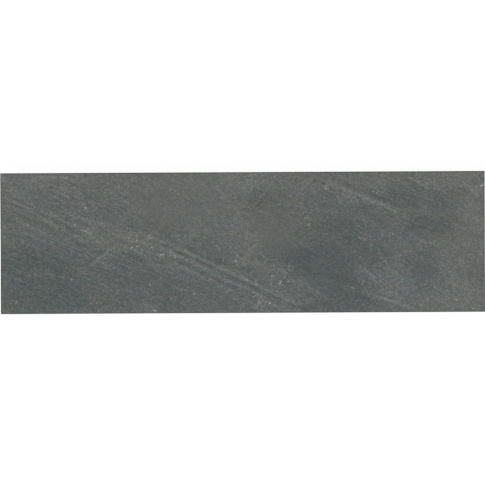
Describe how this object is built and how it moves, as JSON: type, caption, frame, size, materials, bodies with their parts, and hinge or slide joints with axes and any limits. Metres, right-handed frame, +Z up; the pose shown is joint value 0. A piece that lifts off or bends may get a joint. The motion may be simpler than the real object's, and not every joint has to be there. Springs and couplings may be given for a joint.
{
  "type": "slate slab",
  "caption": "Long rectangular slab of natural slate with a riven top face, sawn sides and a flat ground underside, laid as a paving, hearth, sill or shelf stone.",
  "frame": {"origin": "middle of the flat ground underside", "axes": "+X along the length, +Y across the width, +Z up out of the riven top face"},
  "size_m": [0.6, 0.1746, 0.0209],
  "materials": {
    "slate": "riven, matt, dry"
  },
  "bodies": {
    "root": {"slab": "slate"}
  },
  "joints": []
}
